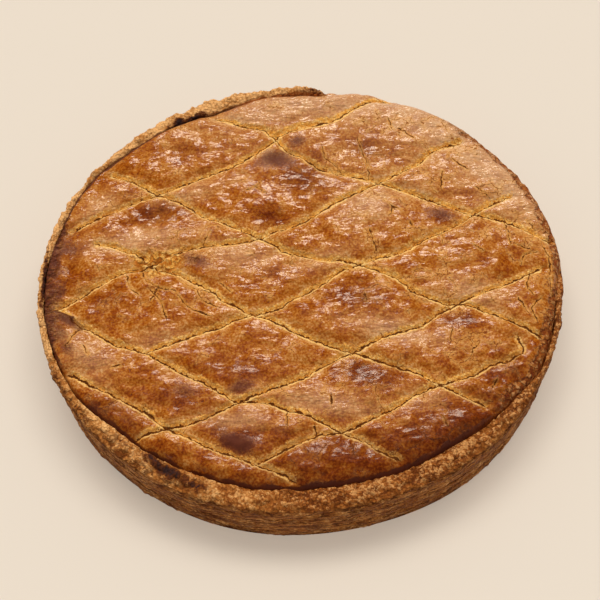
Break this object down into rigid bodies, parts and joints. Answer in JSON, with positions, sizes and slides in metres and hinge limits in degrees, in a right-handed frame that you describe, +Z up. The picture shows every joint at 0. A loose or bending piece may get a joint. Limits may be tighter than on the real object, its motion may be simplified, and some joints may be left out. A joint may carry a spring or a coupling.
{
  "type": "gateau basque",
  "caption": "Whole round flat cake with a leaning crust wall, a crumbly rim and a glazed, low-domed lid scored in a lattice of lozenges.",
  "frame": {"origin": "centre of the flat underside, which rests on the table", "axes": "+Z up out of the lid; -Y towards the front, where the rim is widest; +X to the right"},
  "size_m": [0.2198, 0.2203, 0.0343],
  "materials": {
    "crust": "matt, crumbly shortcrust, golden brown with darker layers",
    "glazed_lid": "egg-glazed crust, satin gloss, amber with red-brown patches"
  },
  "bodies": {
    "root": {"cake": "crust"}
  },
  "joints": []
}
